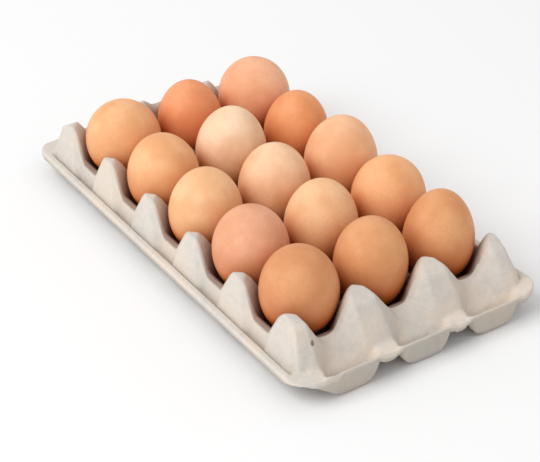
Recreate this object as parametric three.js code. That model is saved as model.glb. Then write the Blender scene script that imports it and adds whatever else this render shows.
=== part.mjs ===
// Open egg tray of moulded pulp, three cells wide and five long, with an egg in each cell.
// Millimetres, Z up. The tray stands on Z = 0 with its middle at the origin and its long side along X.

import * as THREE from "three";

// Cell layout
const PITCH = 48;
const CELLS_LONG = 5;
const CELLS_SHORT = 3;
const HALF_PITCH = PITCH / 2;
const GRID_X = CELLS_LONG * HALF_PITCH;
const GRID_Y = CELLS_SHORT * HALF_PITCH;

// Overall size of the rim
const TRAY_LENGTH = 298;
const TRAY_WIDTH = 167;
const RIM_CORNER_RADIUS = 11.4;
const WIDE_CORNER_RADIUS = 15.5;
const FLANGE_X = TRAY_LENGTH / 2 - GRID_X;
const FLANGE_Y = TRAY_WIDTH / 2 - GRID_Y;

// Pulp sheet
const PULP = 2.2;
const STEEPEST_FACTOR = 4.5;
const RIM_FACTOR = 1.7;
const FLOOR_TOP = PULP;

// Posts between the cells
const OUTER_POST_TOP = 42;
const LONG_SIDE_POST_TOP = 40.4;
const NEAR_CORNER_POST_TOP = 41.4;
const WIDE_CORNER_POST_TOP = 39.6;
const INNER_POST_TOP = 35;
const OUTER_BEVEL = 4.4;
const INNER_BEVEL = 3.2;
const OUTER_CUP_SLOPE = 1.83;
const INNER_CUP_SLOPE = 1.13;
const POST_FLAT = 4.5;
const SHOULDER = 8.5;
const NOTCH_START = 18.5;
const NOTCH_INNER = 20.5;
const NOTCH_SHORT_SIDE = 21;
const NOTCH_LONG_SIDE = 23.5;
const NOTCH_FAR_MIDDLE = 38;
const POST_ROUNDNESS = 1.2;
const NOTCH_CREST = 1.5;
const NOTCH_FALL = 1.2;
const WEB_FALL = 4.2;

// Posts of the short side at +X lean by these offsets of their tops in X and Y. The corner post at -Y
// stands straight, but the foot of its short face and the whole of its long face are drawn in.
const SHORT_SIDE_LEAN = [-1, -2.4];
const WIDE_CORNER_LEAN = [-2.2, -2.2];
const CORNER_FOOT_DRAW = 1.9;
const CORNER_FACE_DRAW_FOOT = 1.3;
const CORNER_FACE_DRAW_TOP = 2.1;
const CORNER_DRAW_REACH = 10;

// Flange of the short sides, with a half cup in front of each cell
const SHELF_Z = 16;
const SHORT_FACE_FOOT = 18.5;
const SHORT_FACE_SIDE_START = 4;
const SHORT_FACE_SIDE_SHARE = 1.05;
const SHORT_WALL_FALL = 0.45;
const SHORT_WALL_END_FALL = 1.6;
const HALF_CUP_FLOOR = 3;
const HALF_CUP_FLAT = 14;
const SHELF_START = 20;
const HALF_CUP_SIDE_SLOPE = 2.4;
const HALF_CUP_OUTER_START = 24.8;
const HALF_CUP_OUTER_SLOPE = 4.5;
const HALF_CUP_RIM_Z = 17.5;
const SHORT_DROP_START = 28;
const SHORT_DROP_SLOPE = 1.4;

// Flange of the long sides, with a narrow groove inside a raised lip
const LONG_FACE_FOOT = 5.6;
const LONG_FACE_SIDE_SHARE = 1.6;
const LONG_WALL_FALL = 3.1;
const GROOVE_AT_NOTCH = 11;
const GROOVE_AT_POST = 12.5;
const GROOVE_POST_REACH = 9;
const GROOVE_NOTCH_REACH = 17;
const LIP_INNER_START = 6.2;
const LIP_INNER_SLOPE = 4.2;
const LONG_DROP_START = 10.7;
const LONG_DROP_SLOPE = 1;
const GROOVE_END_START = 11;
const GROOVE_END = 17;

// Grid lines from a post to the middle of a cell, and outwards across each flange
const CELL_LINES = [0, POST_FLAT, SHOULDER, NOTCH_START];
const SHORT_FACE_MIDDLE = 7.5;
const LONG_FACE_MIDDLE = 2.3;
const LIP_INNER_END = 7.4;
const SHORT_FLANGE_LINES = [
  SHORT_FACE_SIDE_START,
  SHORT_FACE_MIDDLE,
  SHORT_FACE_FOOT,
  HALF_CUP_OUTER_START,
  SHORT_DROP_START,
  FLANGE_X,
];
const LONG_FLANGE_LINES = [
  LONG_FACE_MIDDLE,
  LONG_FACE_FOOT,
  LIP_INNER_START,
  LIP_INNER_END,
  LONG_DROP_START,
  FLANGE_Y,
];

// Egg mesh
const EGG_SEGMENTS = 14;
const EGG_ROWS = 8;
const EGG_GAP = 0.4;
const SEAT_SAMPLES_AROUND = 60;
const SEAT_SAMPLES_DOWN = 40;

// Colours
const PULP_COLOUR = 0xd9d4cb;
const PULP_ROUGHNESS = 0.95;
const SHELL_ROUGHNESS = 0.45;

// Eggs, with column and row in the tray, half the width and half the height. A positive taper makes the
// top end blunter than the bottom end. The egg leans by some degrees towards a compass angle from +X.
const ROW_LETTERS = ["a", "b", "c"];
const EGGS = [
  { column: 0, row: 0, half: 23.4, tall: 24.8, taper: 0, lean: 4, towards: 200, colour: 0xe0a47c },
  { column: 1, row: 0, half: 21.9, tall: 26.2, taper: -0.04, lean: 3, towards: 240, colour: 0xdfa27a },
  { column: 2, row: 0, half: 21.7, tall: 26.6, taper: -0.05, lean: 2, towards: 90, colour: 0xe2a878 },
  { column: 3, row: 0, half: 22.1, tall: 27, taper: 0.03, lean: 3, towards: 180, colour: 0xdea086 },
  { column: 4, row: 0, half: 22.2, tall: 27.2, taper: -0.02, lean: 2, towards: 270, colour: 0xd9966c },
  { column: 0, row: 1, half: 20.6, tall: 27.2, taper: -0.05, lean: 5, towards: 300, colour: 0xcf7a4c },
  { column: 1, row: 1, half: 21.8, tall: 28.2, taper: -0.05, lean: 3, towards: 30, colour: 0xe6b08a },
  { column: 2, row: 1, half: 21.7, tall: 27.2, taper: -0.04, lean: 2, towards: 150, colour: 0xe4ac88 },
  { column: 3, row: 1, half: 21.5, tall: 27.5, taper: -0.03, lean: 3, towards: 60, colour: 0xe0a47e },
  { column: 4, row: 1, half: 21, tall: 28.8, taper: 0.02, lean: 2, towards: 120, colour: 0xd79667 },
  { column: 0, row: 2, half: 23, tall: 26, taper: 0.02, lean: 4, towards: 330, colour: 0xdc9d80 },
  { column: 1, row: 2, half: 20.2, tall: 27, taper: -0.04, lean: 4, towards: 20, colour: 0xd08554 },
  { column: 2, row: 2, half: 22.4, tall: 28.6, taper: -0.04, lean: 3, towards: 80, colour: 0xd9986e },
  { column: 3, row: 2, half: 22.2, tall: 27, taper: 0.02, lean: 3, towards: 10, colour: 0xd99a70 },
  { column: 4, row: 2, half: 20.6, tall: 28.6, taper: -0.08, lean: 3, towards: 100, colour: 0xd79a68 },
];

// Distance that runs along rounded squares, diamonds or circles by its power.
function roundedDistance(a, b, power) {
  return (a ** power + b ** power) ** (1 / power);
}

// Height of a post at a distance from its middle: flat top, bevelled shoulder, straight side, cup wall.
function postProfile(distance, top) {
  const inner = top === INNER_POST_TOP;
  const shoulderZ = top - (inner ? INNER_BEVEL : OUTER_BEVEL);
  if (distance <= POST_FLAT) {
    return top;
  }
  if (distance <= SHOULDER) {
    return top - ((top - shoulderZ) * (distance - POST_FLAT)) / (SHOULDER - POST_FLAT);
  }
  if (distance <= NOTCH_START) {
    const slope = (shoulderZ - NOTCH_INNER) / (NOTCH_START - SHOULDER);
    return shoulderZ - slope * (distance - SHOULDER);
  }
  return NOTCH_INNER - (inner ? INNER_CUP_SLOPE : OUTER_CUP_SLOPE) * (distance - NOTCH_START);
}

// Distance from an outer post's middle at which its side comes down to the shelf.
const SHELF_REACH = NOTCH_START + (NOTCH_INNER - SHELF_Z) / OUTER_CUP_SLOPE;
const SHORT_FACE_SCALE = SHELF_REACH / SHORT_FACE_FOOT;
const LONG_FACE_SCALE = SHELF_REACH / LONG_FACE_FOOT;

// Distance across a post with a flat outer face that widens downwards between two side faces.
function flatFaceDistance(out, along, faceScale, sideShare, sideStart) {
  return Math.max(out * faceScale, along + sideShare * Math.max(0, out - sideStart));
}

function crest(level, distance) {
  return level - NOTCH_FALL * Math.max(0, distance - NOTCH_CREST);
}

function ramp(from, to, value) {
  return Math.min(1, Math.max(0, (value - from) / (to - from)));
}

// Distance to the nearest line of posts along one axis, counted only inside the outermost posts.
function toPostLine(value, limit) {
  const inside = Math.min(Math.abs(value), limit);
  const shifted = (limit - inside) % PITCH;
  return Math.min(shifted, PITCH - shifted);
}

// Height of the notches along a short side. The middle one of the far side is almost closed by a web.
function shortSideNotch(x, y) {
  return x < 0 && Math.abs(y) < HALF_PITCH ? NOTCH_FAR_MIDDLE : NOTCH_SHORT_SIDE;
}

// Top of the nearest post. The posts along the long sides and at the corners of +X are lower.
function postTop(x, y) {
  const outermostX = GRID_X - Math.abs(x) < HALF_PITCH;
  const outermostY = GRID_Y - Math.abs(y) < HALF_PITCH;
  if (outermostX && outermostY && x > 0) {
    return y > 0 ? WIDE_CORNER_POST_TOP : NEAR_CORNER_POST_TOP;
  }
  if (outermostX) {
    return OUTER_POST_TOP;
  }
  return outermostY ? LONG_SIDE_POST_TOP : INNER_POST_TOP;
}

// Inner area: cups between posts, with notches between neighbouring posts.
function innerHeight(x, y, a, b) {
  const outermostX = GRID_X - Math.abs(x) < HALF_PITCH;
  const outermostY = GRID_Y - Math.abs(y) < HALF_PITCH;
  const post = postProfile(roundedDistance(a, b, POST_ROUNDNESS), postTop(x, y));
  const notchAcrossX = crest(outermostX ? NOTCH_SHORT_SIDE : NOTCH_INNER, a);
  const web = outermostX ? shortSideNotch(x, y) - WEB_FALL * a : 0;
  const notchAcrossY = crest(outermostY ? NOTCH_LONG_SIDE : NOTCH_INNER, b);
  return Math.max(FLOOR_TOP, post, notchAcrossX, notchAcrossY, web);
}

// Short side: sloping post faces, walls under the notches, then half cups between flat shelves.
function shortSideHeight(x, y, out, b) {
  const sideShare = SHORT_FACE_SIDE_SHARE;
  const across = flatFaceDistance(out, b, SHORT_FACE_SCALE, sideShare, SHORT_FACE_SIDE_START);
  const face = postProfile(across, postTop(x, y));
  const notch = shortSideNotch(x, y);
  const fall = SHORT_WALL_FALL + (notch - NOTCH_SHORT_SIDE) / SHORT_FACE_FOOT;
  const wall = notch - fall * out - SHORT_WALL_END_FALL * Math.max(0, out - SHORT_FACE_FOOT);
  const fromCup = HALF_PITCH - b;
  const cupSide = HALF_CUP_FLOOR + HALF_CUP_SIDE_SLOPE * Math.max(0, fromCup - HALF_CUP_FLAT);
  const cupOuter = HALF_CUP_FLOOR + HALF_CUP_OUTER_SLOPE * Math.max(0, out - HALF_CUP_OUTER_START);
  const shelfShare = ramp(HALF_CUP_FLAT, SHELF_START, fromCup);
  const shelf = SHELF_Z - SHORT_DROP_SLOPE * Math.max(0, out - SHORT_DROP_START);
  const rim = HALF_CUP_RIM_Z + (shelf - HALF_CUP_RIM_Z) * shelfShare;
  return Math.max(face, wall, Math.min(rim, Math.max(cupSide, cupOuter)));
}

function longLip(out) {
  const inner = GROOVE_AT_NOTCH + LIP_INNER_SLOPE * Math.max(0, out - LIP_INNER_START);
  const outer = SHELF_Z - LONG_DROP_SLOPE * Math.max(0, out - LONG_DROP_START);
  return Math.min(SHELF_Z, inner, outer);
}

// Long side: steep flat post faces, hollows under the notches, a groove and a raised lip.
function longSideHeight(x, y, out, a) {
  const across = flatFaceDistance(out, a, LONG_FACE_SCALE, LONG_FACE_SIDE_SHARE, 0);
  const face = postProfile(across, postTop(x, y));
  const wall = NOTCH_LONG_SIDE - LONG_WALL_FALL * out;
  const grooveShare = ramp(GROOVE_POST_REACH, GROOVE_NOTCH_REACH, a);
  const groove = GROOVE_AT_POST + (GROOVE_AT_NOTCH - GROOVE_AT_POST) * grooveShare;
  return Math.max(face, wall, groove, longLip(out));
}

// Corner: sharp-edged corner post that comes down to a flat shelf where the groove ends.
function cornerHeight(x, y, outX, outY) {
  const across = Math.max(outX * SHORT_FACE_SCALE, outY * LONG_FACE_SCALE);
  const face = postProfile(across, postTop(x, y));
  const closed = ramp(GROOVE_END_START, GROOVE_END, outX);
  const groove = GROOVE_AT_POST + (SHELF_Z - GROOVE_AT_POST) * closed;
  const edgeX = SHORT_DROP_SLOPE * Math.max(0, outX - SHORT_DROP_START);
  const edgeY = LONG_DROP_SLOPE * Math.max(0, outY - LONG_DROP_START);
  const dropX = edgeX * (1 - ramp(0, LONG_FACE_FOOT, outY));
  const dropY = edgeY * (1 - ramp(SHORT_FACE_FOOT, SHORT_DROP_START, outX));
  const shelf = Math.max(groove, longLip(outY) + edgeY);
  return Math.max(face, shelf - Math.max(dropX, dropY));
}

// Upper surface of the tray over a point of the unrounded plan.
function trayHeight(x, y) {
  const outX = Math.max(0, Math.abs(x) - GRID_X);
  const outY = Math.max(0, Math.abs(y) - GRID_Y);
  const a = toPostLine(x, GRID_X);
  const b = toPostLine(y, GRID_Y);
  if (outX > 0 && outY > 0) {
    return cornerHeight(x, y, outX, outY);
  }
  if (outX > 0) {
    return shortSideHeight(x, y, outX, b);
  }
  if (outY > 0) {
    return longSideHeight(x, y, outY, a);
  }
  return innerHeight(x, y, a, b);
}

// Sorted grid lines along one axis from the outer rim to the other outer rim.
function gridLines(cells, limit, flangeLines) {
  const lines = new Set();
  for (const out of flangeLines) {
    lines.add(limit + out);
    lines.add(-limit - out);
  }
  for (let cell = 0; cell < cells; cell += 1) {
    const start = cell * PITCH - limit;
    lines.add(start + HALF_PITCH);
    for (const step of CELL_LINES) {
      lines.add(start + step);
      lines.add(start + PITCH - step);
    }
  }
  return [...lines].sort((first, second) => first - second);
}

// Moves a point of a square corner inwards so that the rim turns on an arc.
function roundedCorner(x, y) {
  const outX = Math.max(0, Math.abs(x) - GRID_X) / FLANGE_X;
  const outY = Math.max(0, Math.abs(y) - GRID_Y) / FLANGE_Y;
  const level = Math.max(outX, outY);
  const radius = (x > 0 && y > 0 ? WIDE_CORNER_RADIUS : RIM_CORNER_RADIUS) * level;
  const centreX = GRID_X + FLANGE_X * level - radius;
  const centreY = GRID_Y + FLANGE_Y * level - radius;
  const awayX = Math.abs(x) - centreX;
  const awayY = Math.abs(y) - centreY;
  if (awayX <= 0 || awayY <= 0) {
    return [x, y];
  }
  const pull = radius / Math.hypot(awayX, awayY);
  return [Math.sign(x) * (centreX + awayX * pull), Math.sign(y) * (centreY + awayY * pull)];
}

// Moves a point of the short side's posts by their lean and by what the corner post is drawn in.
function leanedPost(x, y, z) {
  if (x < GRID_X - HALF_PITCH) {
    return [x, y];
  }
  const rise = ramp(NOTCH_SHORT_SIDE, OUTER_POST_TOP, z);
  if (y > -GRID_Y + HALF_PITCH) {
    const lean = y > GRID_Y - HALF_PITCH ? WIDE_CORNER_LEAN : SHORT_SIDE_LEAN;
    return [x + lean[0] * rise, y + lean[1] * rise];
  }
  const high = ramp(SHELF_Z, OUTER_POST_TOP, z);
  const nearX = ramp(GRID_X - CORNER_DRAW_REACH, GRID_X, x);
  const nearY = ramp(-GRID_Y + CORNER_DRAW_REACH, -GRID_Y, y);
  const insideFootX = 1 - ramp(SHORT_FACE_FOOT, HALF_CUP_OUTER_START, x - GRID_X);
  const insideFootY = 1 - ramp(LONG_FACE_FOOT, LIP_INNER_START, -GRID_Y - y);
  const share = nearX * nearY * insideFootX * insideFootY;
  const faceDraw = CORNER_FACE_DRAW_FOOT + (CORNER_FACE_DRAW_TOP - CORNER_FACE_DRAW_FOOT) * high;
  return [x - CORNER_FOOT_DRAW * (1 - high) * share, y + faceDraw * share];
}

const xLines = gridLines(CELLS_LONG, GRID_X, SHORT_FLANGE_LINES);
const yLines = gridLines(CELLS_SHORT, GRID_Y, LONG_FLANGE_LINES);
const heights = xLines.map((x) => yLines.map((y) => trayHeight(x, y)));

// True where the diagonal from the lower left corner of a grid square fits the surface better.
function risingDiagonal(i, j) {
  const middle = trayHeight((xLines[i] + xLines[i + 1]) / 2, (yLines[j] + yLines[j + 1]) / 2);
  const rising = (heights[i][j] + heights[i + 1][j + 1]) / 2;
  const falling = (heights[i + 1][j] + heights[i][j + 1]) / 2;
  return Math.abs(rising - middle) < Math.abs(falling - middle);
}

function lineBelow(lines, value) {
  let index = 0;
  while (index < lines.length - 2 && lines[index + 1] <= value) {
    index += 1;
  }
  return index;
}

// Height of the faceted upper surface.
function facetHeight(x, y) {
  const i = lineBelow(xLines, x);
  const j = lineBelow(yLines, y);
  const u = (x - xLines[i]) / (xLines[i + 1] - xLines[i]);
  const v = (y - yLines[j]) / (yLines[j + 1] - yLines[j]);
  const nearLeft = heights[i][j];
  const nearRight = heights[i + 1][j];
  const farLeft = heights[i][j + 1];
  const farRight = heights[i + 1][j + 1];
  if (risingDiagonal(i, j)) {
    if (u > v) {
      return nearLeft + (nearRight - nearLeft) * u + (farRight - nearRight) * v;
    }
    return nearLeft + (farRight - farLeft) * u + (farLeft - nearLeft) * v;
  }
  if (u + v < 1) {
    return nearLeft + (nearRight - nearLeft) * u + (farLeft - nearLeft) * v;
  }
  return farRight + (farLeft - farRight) * (1 - u) + (nearRight - farRight) * (1 - v);
}

// Tray: an upper and a lower sheet over the same grid, joined along the rim.
function trayGeometry() {
  const columns = xLines.length;
  const rows = yLines.length;
  const count = columns * rows;
  const upper = [];
  for (let i = 0; i < columns; i += 1) {
    for (let j = 0; j < rows; j += 1) {
      const [rimX, rimY] = roundedCorner(xLines[i], yLines[j]);
      const [x, y] = leanedPost(rimX, rimY, heights[i][j]);
      upper.push(new THREE.Vector3(x, y, heights[i][j]));
    }
  }
  const faces = [];
  for (let i = 0; i < columns - 1; i += 1) {
    for (let j = 0; j < rows - 1; j += 1) {
      const nearLeft = i * rows + j;
      const nearRight = nearLeft + rows;
      const farLeft = nearLeft + 1;
      const farRight = nearRight + 1;
      if (risingDiagonal(i, j)) {
        faces.push([nearLeft, nearRight, farRight], [nearLeft, farRight, farLeft]);
      } else {
        faces.push([nearLeft, nearRight, farLeft], [nearRight, farRight, farLeft]);
      }
    }
  }
  const normals = upper.map(() => new THREE.Vector3());
  const side = new THREE.Vector3();
  const otherSide = new THREE.Vector3();
  for (const [first, second, third] of faces) {
    side.subVectors(upper[second], upper[first]);
    otherSide.subVectors(upper[third], upper[first]);
    side.cross(otherSide);
    normals[first].add(side);
    normals[second].add(side);
    normals[third].add(side);
  }
  const lower = upper.map((point, index) => {
    const column = Math.floor(index / rows);
    const row = index % rows;
    const onLip = Math.abs(yLines[row]) >= GRID_Y + LIP_INNER_START;
    const onRim = column === 0 || column === columns - 1;
    const limit = onLip || onRim ? RIM_FACTOR : STEEPEST_FACTOR;
    const factor = Math.min(limit, normals[index].length() / normals[index].z);
    return new THREE.Vector3(point.x, point.y, Math.max(0, point.z - PULP * factor));
  });
  const index = [];
  for (const [first, second, third] of faces) {
    index.push(first, second, third);
    index.push(count + first, count + third, count + second);
  }
  const border = [];
  for (let i = 0; i < columns - 1; i += 1) {
    border.push(i * rows);
  }
  for (let j = 0; j < rows - 1; j += 1) {
    border.push((columns - 1) * rows + j);
  }
  for (let i = columns - 1; i > 0; i -= 1) {
    border.push(i * rows + rows - 1);
  }
  for (let j = rows - 1; j > 0; j -= 1) {
    border.push(j);
  }
  border.forEach((here, place) => {
    const next = border[(place + 1) % border.length];
    index.push(here, count + here, count + next);
    index.push(here, count + next, next);
  });
  const points = upper.concat(lower);
  const geometry = new THREE.BufferGeometry().setFromPoints(points);
  geometry.setIndex(index);
  geometry.computeVertexNormals();
  return geometry;
}

// Distance of the shell from the egg's axis and height along it, for an angle from the top.
function shellPoint(egg, angle) {
  const radius = egg.half * Math.sin(angle) * (1 + egg.taper * Math.cos(angle));
  return new THREE.Vector2(Math.max(0, radius), egg.tall * Math.cos(angle));
}

function eggTurn(egg) {
  const compass = THREE.MathUtils.degToRad(egg.towards);
  const axis = new THREE.Vector3(-Math.sin(compass), Math.cos(compass), 0);
  return new THREE.Quaternion().setFromAxisAngle(axis, THREE.MathUtils.degToRad(egg.lean));
}

function eggPlace(egg) {
  const x = (egg.column + 0.5) * PITCH - GRID_X;
  const y = (egg.row + 0.5) * PITCH - GRID_Y;
  return new THREE.Vector2(x, y);
}

// Height of the egg's middle at which the lower half of the shell just clears the faceted cup.
function seatHeight(egg, turn, place) {
  let seat = 0;
  for (let down = 1; down <= SEAT_SAMPLES_DOWN; down += 1) {
    const profile = shellPoint(egg, (Math.PI / 2) * (1 + down / SEAT_SAMPLES_DOWN));
    for (let around = 0; around < SEAT_SAMPLES_AROUND; around += 1) {
      const angle = (2 * Math.PI * around) / SEAT_SAMPLES_AROUND;
      const point = new THREE.Vector3(Math.cos(angle), Math.sin(angle), 0);
      point.multiplyScalar(profile.x).setZ(profile.y);
      point.applyQuaternion(turn);
      const ground = facetHeight(place.x + point.x, place.y + point.y);
      seat = Math.max(seat, ground + EGG_GAP - point.z);
    }
  }
  return seat;
}

// Egg: a turned solid with a pole at each end, leaned and set down in its cell.
function eggMesh(egg) {
  const profile = [];
  for (let row = EGG_ROWS; row >= 0; row -= 1) {
    profile.push(shellPoint(egg, (Math.PI * row) / EGG_ROWS));
  }
  const geometry = new THREE.LatheGeometry(profile, EGG_SEGMENTS);
  geometry.rotateX(Math.PI / 2);
  const turn = eggTurn(egg);
  const place = eggPlace(egg);
  geometry.applyQuaternion(turn);
  geometry.translate(place.x, place.y, seatHeight(egg, turn, place));
  const material = new THREE.MeshStandardMaterial({
    color: egg.colour,
    roughness: SHELL_ROUGHNESS,
    metalness: 0,
  });
  const mesh = new THREE.Mesh(geometry, material);
  mesh.name = `egg_${ROW_LETTERS[egg.row]}${egg.column + 1}`;
  return mesh;
}

const part = new THREE.Group();
part.name = "egg_tray_with_eggs";

const trayMaterial = new THREE.MeshStandardMaterial({
  color: PULP_COLOUR,
  roughness: PULP_ROUGHNESS,
  metalness: 0,
});
const tray = new THREE.Mesh(trayGeometry(), trayMaterial);
tray.name = "tray";
part.add(tray);

for (const egg of EGGS) {
  part.add(eggMesh(egg));
}

export default part;
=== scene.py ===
"""Open egg tray of moulded pulp with fifteen brown eggs.

Shapes are worked out in millimetres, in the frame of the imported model, and built in metres.
"""

import math

import bpy
import numpy as np
from mathutils import Matrix, Vector, noise
from mathutils.bvhtree import BVHTree


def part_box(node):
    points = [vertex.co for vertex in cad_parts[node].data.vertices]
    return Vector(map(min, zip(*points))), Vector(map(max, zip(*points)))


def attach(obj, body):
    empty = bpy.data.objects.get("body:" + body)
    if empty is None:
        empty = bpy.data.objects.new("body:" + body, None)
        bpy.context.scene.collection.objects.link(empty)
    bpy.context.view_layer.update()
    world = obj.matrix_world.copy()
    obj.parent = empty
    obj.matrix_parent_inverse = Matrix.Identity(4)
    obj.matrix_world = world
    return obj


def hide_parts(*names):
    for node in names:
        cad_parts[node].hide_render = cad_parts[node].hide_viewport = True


MM = 0.001

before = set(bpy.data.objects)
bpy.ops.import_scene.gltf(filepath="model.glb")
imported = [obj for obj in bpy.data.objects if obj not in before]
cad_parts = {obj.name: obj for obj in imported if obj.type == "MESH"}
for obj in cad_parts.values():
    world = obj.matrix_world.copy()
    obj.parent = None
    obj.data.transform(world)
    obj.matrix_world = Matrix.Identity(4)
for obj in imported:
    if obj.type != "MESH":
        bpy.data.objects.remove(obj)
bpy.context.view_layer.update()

# Sizes of the tray, in millimetres

PITCH = 48
HALF_PITCH = PITCH / 2
GRID_X = 5 * HALF_PITCH
GRID_Y = 3 * HALF_PITCH
TRAY_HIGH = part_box("tray")[1]
RIM_X = TRAY_HIGH[0] / MM
RIM_Y = TRAY_HIGH[1] / MM
FLANGE_X = RIM_X - GRID_X
FLANGE_Y = RIM_Y - GRID_Y
RIM_CORNER_RADIUS = 11.4
WIDE_CORNER_RADIUS = 15.5

PULP = 2.2
STEEPEST_FACTOR = 4.5
RIM_FACTOR = 1.7
FLOOR_TOP = PULP

OUTER_POST_TOP = 42
LONG_SIDE_POST_TOP = 40.4
NEAR_CORNER_POST_TOP = 41.4
WIDE_CORNER_POST_TOP = 39.6
INNER_POST_TOP = 35
OUTER_BEVEL = 4.4
INNER_BEVEL = 3.2
OUTER_CUP_SLOPE = 1.83
INNER_CUP_SLOPE = 1.13
POST_FLAT = 4.5
SHOULDER = 8.5
NOTCH_START = 18.5
NOTCH_INNER = 20.5
NOTCH_SHORT_SIDE = 21
NOTCH_LONG_SIDE = 23.5
NOTCH_FAR_MIDDLE = 38
POST_ROUNDNESS = 1.2
NOTCH_CREST = 1.5
NOTCH_FALL = 1.2
WEB_FALL = 4.2

SHORT_SIDE_LEAN = (-1, -2.4)
WIDE_CORNER_LEAN = (-2.2, -2.2)
CORNER_FOOT_DRAW = 1.9
CORNER_FACE_DRAW_FOOT = 1.3
CORNER_FACE_DRAW_TOP = 2.1
CORNER_DRAW_REACH = 10

SHELF_Z = 16
SHORT_FACE_FOOT = 18.5
SHORT_FACE_SIDE_START = 6
SHORT_FACE_SIDE_SHARE = 1
FACET_REACH = 8
FACET_FALL = 4.8
SHORT_WALL_FALL = 0.6
SHORT_WALL_END_FALL = 1.6
SHORT_VALLEY_SOFTNESS = 4
HALF_CUP_FLOOR = 2.6
HALF_CUP_REACH = 19.5
HALF_CUP_MIDDLE = 20.5
HALF_CUP_OUTER_END = 28.6
HALF_CUP_ROUNDNESS = 5
HALF_CUP_HOLLOW = 3.6
HALF_CUP_OUTER_START = 24.8
HALF_CUP_RIM_Z = 17.5
SHELF_START = 0.9
SHELF_FULL = 1.02
SHELF_SHIFT = 2.5
SHORT_DROP_START = 28
SHORT_DROP_SLOPE = 1.4

LONG_FACE_FOOT = 5.6
LONG_FACE_SIDE_SHARE = 1.6
LONG_WALL_FALL = 3.1
GROOVE_AT_NOTCH = 11
GROOVE_AT_POST = 12.5
GROOVE_POST_REACH = 9
GROOVE_NOTCH_REACH = 17
LIP_INNER_START = 6.2
LIP_INNER_SLOPE = 4.2
LONG_DROP_START = 10.7
LONG_DROP_SLOPE = 1
GROOVE_END_START = 11
GROOVE_END = 17

SHELF_REACH = NOTCH_START + (NOTCH_INNER - SHELF_Z) / OUTER_CUP_SLOPE
LONG_FACE_SCALE = SHELF_REACH / LONG_FACE_FOOT

# Mesh of the tray
INNER_STEP_X = 1.3
FLANGE_STEP_X = 0.8
INNER_STEP_Y = 1.15
FLANGE_STEP_Y = 0.55
SMOOTHING_ROUNDS = 10
EDGE_SHARE = 0.04
SOFT_SHARE = 0.35
SOFT_LOW, SOFT_HIGH = 20, 27
SOFT_OUT_FULL = 3
SOFT_OUT_START, SOFT_OUT_END = 20, 24
CRISP_LOW, CRISP_HIGH = 32, 35
EGG_CLEARANCE = 0.25
CORNER_LIFT = 3.2
LIFT_START = (122, 62)
STEEPEST_NORMAL_Z = 0.01
UNDER_ROUNDS = 5
UNDER_SHARE = 0.6
THINNEST_SHARE = 0.9
RIM_BULGE = 0.5
RIM_RINGS = 7

# Slope under the near corner, down to the side of the first half cup
SKIRT_LOW = 3.5
SKIRT_START = -59
SKIRT_SLOPE = 0.53
SKIRT_INNER = 144
SKIRT_INNER_SLOPE = 1.6
SKIRT_SIDE_SLOPE = 3
CREASE_TOP = -76
CREASE_FOOT = -60
CREASE_DRAW = 0.45
CREASE_INNER = 130

# Unevenness of the pressed sheet: wavelength and height. Only a share of it moves points sideways.
PULP_WAVES = ((34, 0.25), (9, 0.18), (3.2, 0.11))
PULP_SEED = 5
SIDEWAYS_SHARE = 0.3
WAVE_SHIFT = (7.3, 3.1, 11.7)

# Painted shade of a pit in the near corner post, beside the first notch: a dark spot in the pulp's colour
PAINTED_PIT_PLACE = (131.2, -63.4, 28.5)
PAINTED_PIT_RADIUS = 1.8
PAINTED_PIT_CORE, PAINTED_PIT_EDGE = 0.6, 1.2

# Shade where little light gets in: on the tray by the distance to the nearest egg and by height, on the
# eggs by the distance to the next egg and by height, and on the rim's wall, the underside and the grooves
POCKET_NEAR, POCKET_FAR = 2, 15
POCKET_LOW, POCKET_HIGH = 21, 39
# Least share of painted pocket shade near an egg at any height: a warm tint standing in for light reflected
# by the eggs
POCKET_SHADE_NEAR_EGGS = 0.11
POCKET_MARGIN = 1
GAP_NEAR, GAP_FAR = 0.5, 6.5
GAP_SHARE = 0.75
NEIGHBOUR_REACH = 1.1 * PITCH
EGG_SHADE_LOW, EGG_SHADE_HIGH = 24, 52
EGG_SHADE_POWER = 1.5
RIM_SHADE_START, RIM_SHADE_FULL = 0.15, 0.45
GROOVE_SHADE_MIDDLE = 5.6
GROOVE_SHADE_FULL = 1.4
GROOVE_SHADE_REACH = 3.6

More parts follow.
